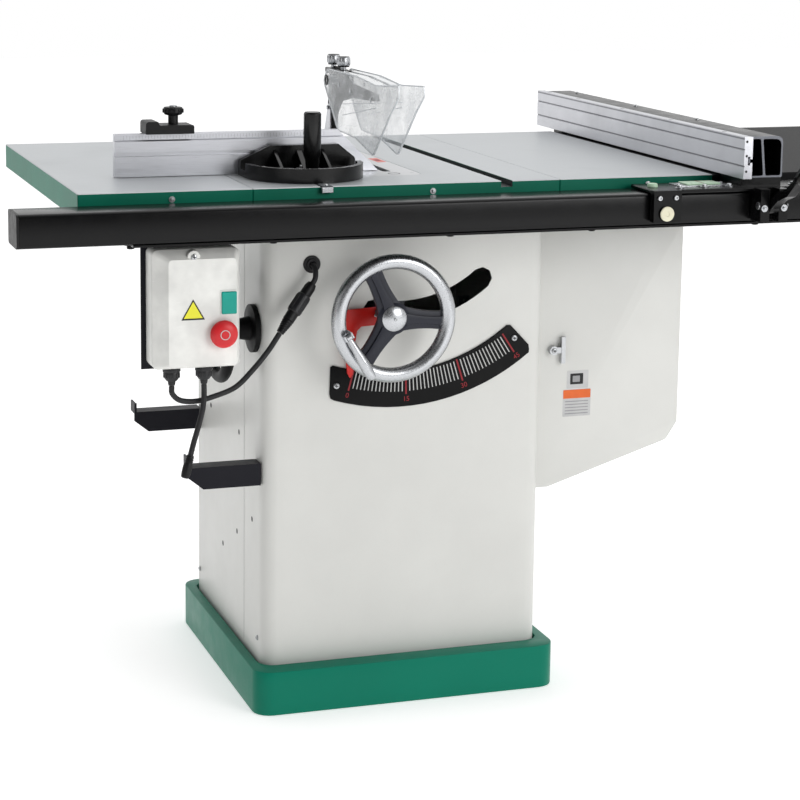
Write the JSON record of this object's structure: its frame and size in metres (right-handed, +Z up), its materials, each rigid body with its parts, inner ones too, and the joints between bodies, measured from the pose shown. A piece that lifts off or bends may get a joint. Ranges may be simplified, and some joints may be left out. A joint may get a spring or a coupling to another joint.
{
  "type": "cabinet table saw",
  "caption": "Left-tilting cabinet table saw with rip fence, miter gauge, blade guard, geared rise and tilt, and an extension table.",
  "frame": {"origin": "centre of the base's underside, on the floor", "axes": "+X along the fence rails to the operator's right, +Y away from the operator, +Z up"},
  "size_m": [2.138, 1.0243, 1.0345],
  "materials": {
    "green_enamel": "satin enamel",
    "cream_enamel": "satin enamel",
    "ground_iron": "ground and oiled top, green painted edges",
    "rough_iron": "as cast with machined faces",
    "insert_grey": "brushed",
    "black_enamel": "gloss powder coat",
    "laminate_black": "fine textured laminate",
    "black_plastic": "moulded, fine grain",
    "lead_rubber": "matt sheath",
    "bright_steel": "ground",
    "polished_wheel": "polished rim",
    "anodised": "satin anodised",
    "switch_white": "moulded",
    "start_green": "moulded",
    "signal_red": "moulded",
    "clear_guard": "clear polycarbonate"
  },
  "bodies": {
    "machine": {"base_plinth": "green_enamel", "cabinet_shell": "cream_enamel", "dust_port": "black_plastic", "angle_scale": "black_enamel", "storage_bracket_front": "black_enamel", "storage_bracket_rear": "black_enamel", "main_table": "ground_iron", "left_wing": "ground_iron", "right_wing": "ground_iron", "table_insert": "insert_grey", "extension_table": "laminate_black", "extension_leg_front": "black_enamel", "extension_leg_rear": "black_enamel", "front_rail": "black_enamel", "rail_cap_left": "black_plastic", "front_angle": "black_enamel", "rear_rail": "black_enamel", "trunnion_bracket_front": "rough_iron", "trunnion_bracket_rear": "rough_iron", "tilt_flange": "black_enamel", "switch_bracket": "black_enamel", "switch_box": "switch_white", "motor_lead_gland": "black_plastic", "power_lead_gland": "black_plastic", "motor_lead": "lead_rubber", "power_lead": "lead_rubber", "motor_lead_connector": "black_plastic", "panel_grommet": "lead_rubber", "power_connector": "black_plastic"},
    "tilt_carriage": {"tilt_cradle": "rough_iron", "tilt_pointer": "signal_red", "splitter": "black_enamel"},
    "raise_arm": {"arbor_arm": "rough_iron", "motor": "black_enamel", "drive_belt": "lead_rubber"},
    "arbor_spindle": {"arbor": "bright_steel", "saw_blade": "bright_steel", "arbor_nut": "bright_steel", "arbor_pulley": "rough_iron"},
    "motor_spindle": {"motor_pulley": "rough_iron"},
    "height_wheel": {"height_handwheel": "polished_wheel", "height_shaft": "bright_steel"},
    "height_handle": {"height_wheel_handle": "polished_wheel"},
    "tilt_wheel": {"tilt_handwheel": "black_enamel"},
    "left_guard": {"left_shield": "clear_guard"},
    "right_guard": {"right_shield": "clear_guard"},
    "pawls": {"kickback_pawls": "bright_steel"},
    "cover_door": {"motor_cover": "cream_enamel"},
    "latch": {"cover_latch": "bright_steel"},
    "start": {"start_button": "start_green"},
    "stop": {"stop_button": "signal_red"},
    "miter_slide_bar": {"miter_bar": "bright_steel"},
    "miter_protractor": {"miter_head": "black_plastic", "miter_handle": "black_plastic", "miter_fence": "anodised"},
    "stop_block": {"flip_stop": "black_plastic"},
    "rip_fence": {"rip_fence_face": "anodised", "rip_fence_body": "black_enamel", "fence_head": "black_enamel"},
    "fence_lever": {"cam_lever": "black_enamel"}
  },
  "joints": [
    {"name": "blade_tilt", "type": "hinge", "parent": "machine", "child": "tilt_carriage", "pos_m": [-0.01, 0, 0.864], "axis": [0, -1, 0], "range_deg": [0, 45]},
    {"name": "blade_raise", "type": "hinge", "parent": "tilt_carriage", "child": "raise_arm", "pos_m": [0, 0.165, 0.775], "axis": [-1, 0, 0], "range_deg": [0, 30.6]},
    {"name": "blade_spin", "type": "hinge", "parent": "raise_arm", "child": "arbor_spindle", "pos_m": [-0.01, 0.01549, 0.7341], "axis": [1, 0, 0], "continuous": true},
    {"name": "motor_spin", "type": "hinge", "parent": "raise_arm", "child": "motor_spindle", "pos_m": [-0.125, 0.08791, 0.43148], "axis": [1, 0, 0], "continuous": true},
    {"name": "height_wheel_turn", "type": "hinge", "parent": "tilt_carriage", "child": "height_wheel", "pos_m": [-0.045, -0.288, 0.65], "axis": [0, 1, 0], "range_deg": [0, 2221]},
    {"name": "height_handle_fold", "type": "hinge", "parent": "height_wheel", "child": "height_handle", "pos_m": [-0.126, -0.3085, 0.628], "axis": [-0.8637, 0, -0.5039], "range_deg": [0, 90]},
    {"name": "tilt_wheel_turn", "type": "hinge", "parent": "machine", "child": "tilt_wheel", "pos_m": [-0.3, -0.17, 0.622], "axis": [1, 0, 0], "range_deg": [-6573, 0]},
    {"name": "left_shield_lift", "type": "hinge", "parent": "tilt_carriage", "child": "left_guard", "pos_m": [-0.0325, 0.125, 0.993], "axis": [-1, 0, 0], "range_deg": [0, 60]},
    {"name": "right_shield_lift", "type": "hinge", "parent": "tilt_carriage", "child": "right_guard", "pos_m": [0.0125, 0.125, 0.993], "axis": [-1, 0, 0], "range_deg": [0, 60]},
    {"name": "pawl_swing", "type": "hinge", "parent": "tilt_carriage", "child": "pawls", "pos_m": [-0.01, 0.158, 0.942], "axis": [1, 0, 0], "range_deg": [0, 60]},
    {"name": "cover_open", "type": "hinge", "parent": "machine", "child": "cover_door", "pos_m": [0.2408, 0.2125, 0.56], "axis": [0, 0, 1], "range_deg": [0, 105]},
    {"name": "latch_turn", "type": "hinge", "parent": "cover_door", "child": "latch", "pos_m": [0.264, -0.2003, 0.5655], "axis": [0, -1, 0], "range_deg": [0, 90]},
    {"name": "start_press", "type": "slide", "parent": "machine", "child": "start", "axis": [0, 1, 0], "range_m": [0, 0.003], "stiffness_N_per_m": 400},
    {"name": "stop_press", "type": "slide", "parent": "machine", "child": "stop", "axis": [0, 1, 0], "range_m": [0, 0.004], "stiffness_N_per_m": 500},
    {"name": "miter_travel", "type": "slide", "parent": "machine", "child": "miter_slide_bar", "axis": [0, -1, 0], "range_m": [-0.33, 0.1]},
    {"name": "miter_swivel", "type": "hinge", "parent": "miter_slide_bar", "child": "miter_protractor", "pos_m": [-0.159, -0.165, 0.864], "axis": [0, 0, 1], "range_deg": [0, 45]},
    {"name": "stop_shift", "type": "slide", "parent": "miter_protractor", "child": "stop_block", "axis": [1, 0, 0], "range_m": [-0.045, 0.2]},
    {"name": "fence_travel", "type": "slide", "parent": "machine", "child": "rip_fence", "axis": [1, 0, 0], "range_m": [-0.44, 0.72]},
    {"name": "lever_clamp", "type": "hinge", "parent": "rip_fence", "child": "fence_lever", "pos_m": [0.554, -0.402, 0.826], "axis": [1, 0, 0], "range_deg": [0, 70]}
  ],
  "couplings": [
    {"joint": "height_wheel_turn", "follows": "blade_raise", "ratio": 72.508},
    {"joint": "tilt_wheel_turn", "follows": "blade_tilt", "ratio": -146.02},
    {"joint": "motor_spin", "follows": "blade_spin", "ratio": 0.9},
    {"joint": "left_shield_lift", "follows": "blade_tilt", "ratio": 1.3}
  ]
}
